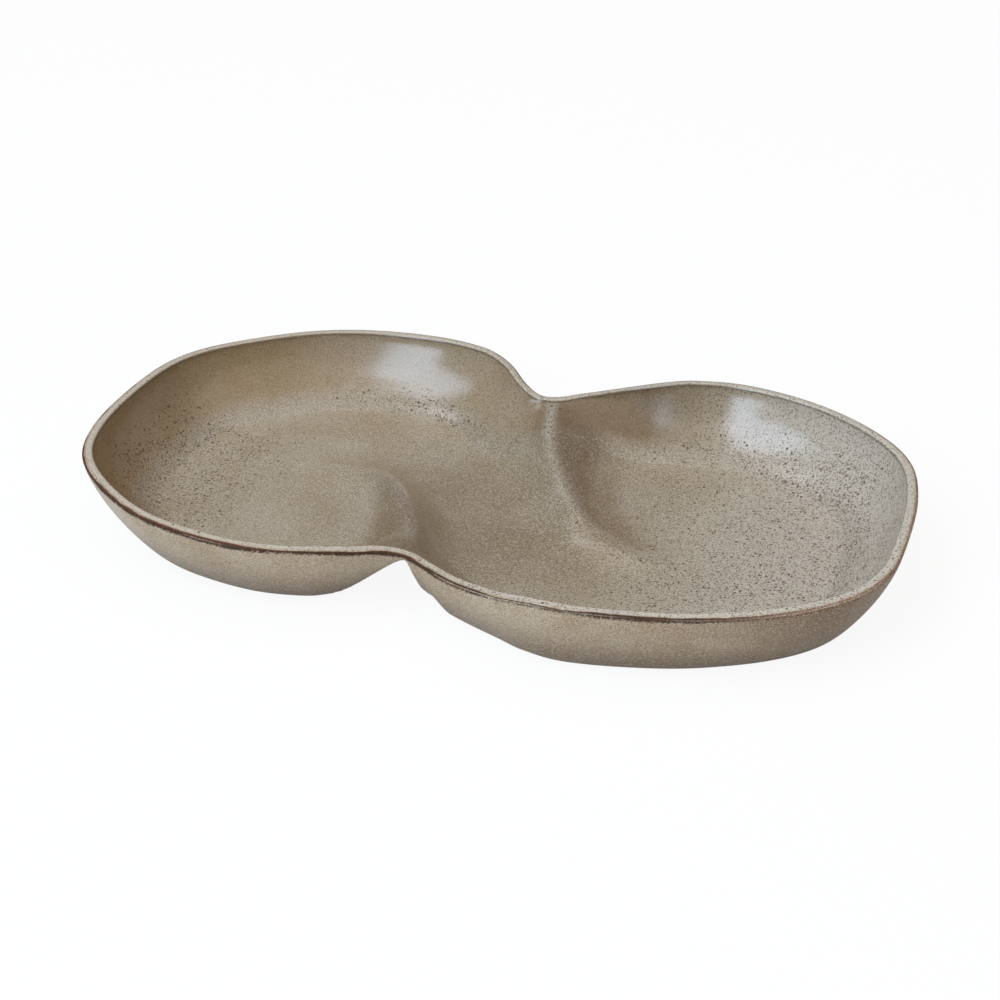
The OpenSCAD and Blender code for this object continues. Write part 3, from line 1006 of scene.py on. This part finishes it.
floor_mesh = bpy.data.meshes.new("pale_floor")
floor_half = FLOOR_SIZE / 2
corners = [(-floor_half, -floor_half), (floor_half, -floor_half),
           (floor_half, floor_half), (-floor_half, floor_half)]
floor_mesh.from_pydata([(*corner, -FLOOR_GAP) for corner in corners], [], [(0, 1, 2, 3)])
floor = bpy.data.objects.new("pale_floor", floor_mesh)
bpy.context.scene.collection.objects.link(floor)

floor_finish, start, shader = new_finish("pale_floor")
shader.inputs["Base Color"].default_value = FLOOR_PALE
shader.inputs["Roughness"].default_value = FLOOR_ROUGH
glow = start.node("ShaderNodeEmission", {}, {"Color": WHITE, "Strength": 1.0})
lit = Wire(start.tree, shader.outputs["BSDF"])
floor_look = start.node("ShaderNodeMixShader", {}, {0: white_rays(start) * FLOOR_WHITE, 1: lit, 2: glow})
plug(floor_look, start.tree.nodes["Material Output"], "Surface")
floor_mesh.materials.append(floor_finish)
print("floor of %d m, %.2f mm below the foot" % (FLOOR_SIZE, FLOOR_GAP / MM))

# %% World
WORLD_LIGHT = 0.19

world = bpy.data.worlds.new("white_surround")
bpy.context.scene.world = world
world.use_nodes = True
start = Wire(world.node_tree)
strength = WORLD_LIGHT + white_rays(start) * (1 - WORLD_LIGHT)
sky = start.node("ShaderNodeBackground", {}, {"Color": WHITE, "Strength": strength})
plug(sky, world.node_tree.nodes["World Output"], "Surface")
print("surround lights the dish at", WORLD_LIGHT)

# %% [markdown]
# ## Light
# The soft patches on the far walls of both bowls are a window, up in front and to the left.
# Where it stands follows from the walls: a mirror there would look at that place.
# The patches have a stepped outline, so the window is two lights: a tall strip,
# and a wider one further left that starts higher up.
# A small light high on the left draws out the crests,
# and a wide one overhead lifts the shade in the bowls, as a ceiling does.

# %% Lights
WINDOW_BLUE = (0.66, 0.81, 1.0)
WALL_WHITE = (0.95, 0.97, 1.0)
CEILING_WARM = (1.0, 0.88, 0.76)


def soft_light(name, azimuth, elevation, distance, size, watts, colour, upright=False):
    """An area light that looks at the dish. Azimuth 0 is in front, and left is below zero.
    An upright one stands like a window in a wall and looks straight ahead."""
    lamp = bpy.data.lights.new(name, "AREA")
    lamp.shape = "RECTANGLE"
    lamp.size, lamp.size_y = size
    lamp.energy = watts
    lamp.color = colour
    light = bpy.data.objects.new(name, lamp)
    turn, climb = math.radians(azimuth), math.radians(elevation)
    level = math.cos(climb)
    way_out = Vector((math.sin(turn) * level, -math.cos(turn) * level, math.sin(climb)))
    light.location = way_out * distance
    facing = Vector((way_out.x, way_out.y, 0)) if upright else way_out
    light.rotation_euler = facing.to_track_quat("Z", "Y").to_euler()
    bpy.context.scene.collection.objects.link(light)
    print("light %s: %.1f W from %.2f m away" % (name, watts, distance))


soft_light("window", azimuth=-18, elevation=44.8, distance=1.69, size=(0.466, 1.78),
           watts=21, colour=WINDOW_BLUE, upright=True)
soft_light("window_side", azimuth=-48, elevation=58.8, distance=2.315, size=(0.87, 2.05),
           watts=33, colour=WINDOW_BLUE, upright=True)
soft_light("left_wall", azimuth=-107, elevation=58, distance=1.8, size=(0.5, 0.5),
           watts=2.5, colour=WALL_WHITE)
soft_light("ceiling", azimuth=90, elevation=78, distance=2.0, size=(3.2, 3.2),
           watts=28, colour=CEILING_WARM)

# %% [markdown]
# ## Camera
# The picture is taken from the front and a little to the right, from about thirty degrees up,
# with a long lens. The square frame is 1000 pixels wide,
# and the lens follows from its focal length in pixels.

# %% Camera
FRAME_PIXELS = 1000
FOCAL_PIXELS = 2300
SENSOR_WIDTH = 36
NEAREST = 10 * MM
look_at = Vector((11.12, -26.18, 26.0)) * MM
camera_place = Vector((227.6, -611.6, 366.3)) * MM

camera_data = bpy.data.cameras.new("photo_camera")
camera_data.sensor_width = SENSOR_WIDTH
camera_data.lens = SENSOR_WIDTH * FOCAL_PIXELS / FRAME_PIXELS
camera_data.clip_start = NEAREST
camera = bpy.data.objects.new("photo_camera", camera_data)
camera.location = camera_place
camera.rotation_euler = (camera_place - look_at).to_track_quat("Z", "Y").to_euler()
bpy.context.scene.collection.objects.link(camera)
bpy.context.scene.camera = camera
bpy.context.scene.view_settings.view_transform = "Standard"
camera_way = (camera_place - look_at).length
print("camera %.0f mm from the dish, lens %.1f mm" % (camera_way / MM, camera_data.lens))
